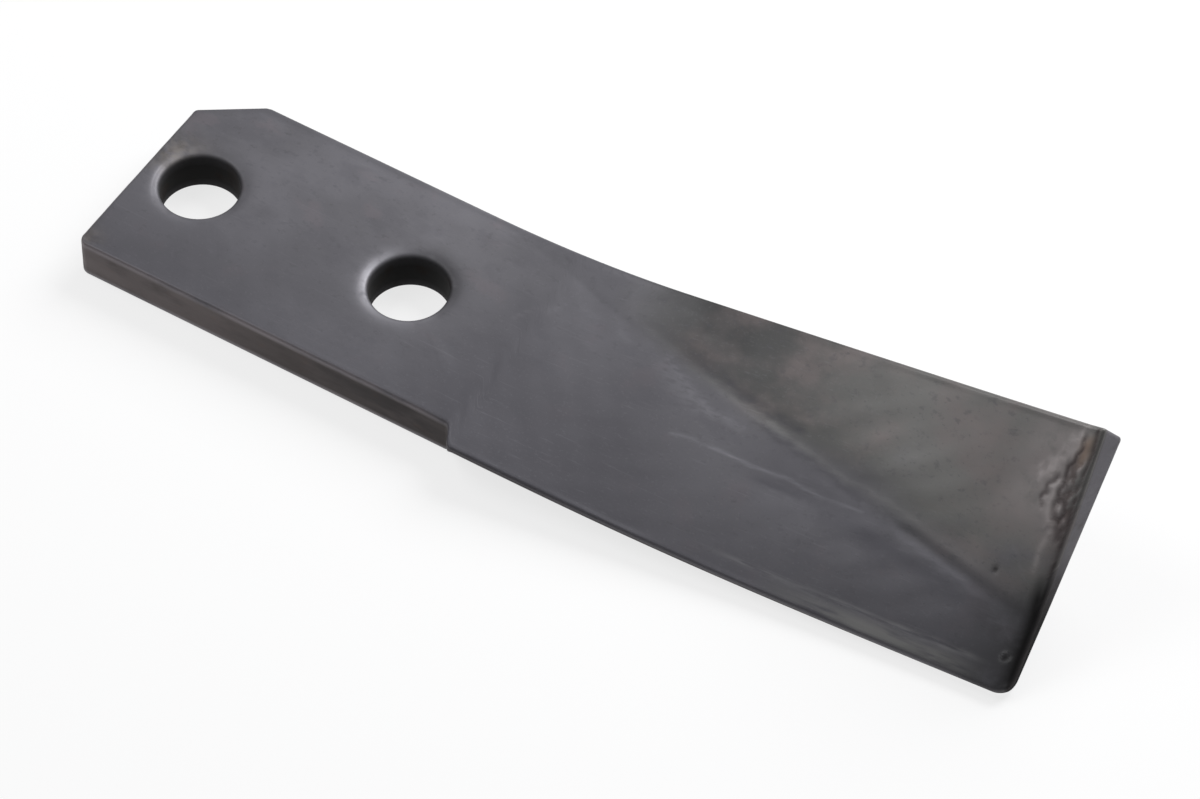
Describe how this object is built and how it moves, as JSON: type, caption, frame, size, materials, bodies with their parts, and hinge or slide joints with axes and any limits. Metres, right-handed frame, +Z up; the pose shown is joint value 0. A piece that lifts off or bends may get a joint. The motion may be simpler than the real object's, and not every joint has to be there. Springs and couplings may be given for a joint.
{
  "type": "power harrow tine",
  "caption": "Forged steel soil-working tine: a flat drilled shank with a cut corner that runs into a twisted, wedge-edged blade.",
  "frame": {"origin": "on the underside of the flat shank, midway between the two bolt holes", "axes": "+X along the bar to the tip of the blade, +Y to the thick back that rises, +Z up, square to the flat shank"},
  "size_m": [0.3371, 0.088, 0.0595],
  "materials": {
    "forged_steel": "forged spring steel with dark mill scale, satin"
  },
  "bodies": {
    "root": {"tine": "forged_steel"}
  },
  "joints": []
}
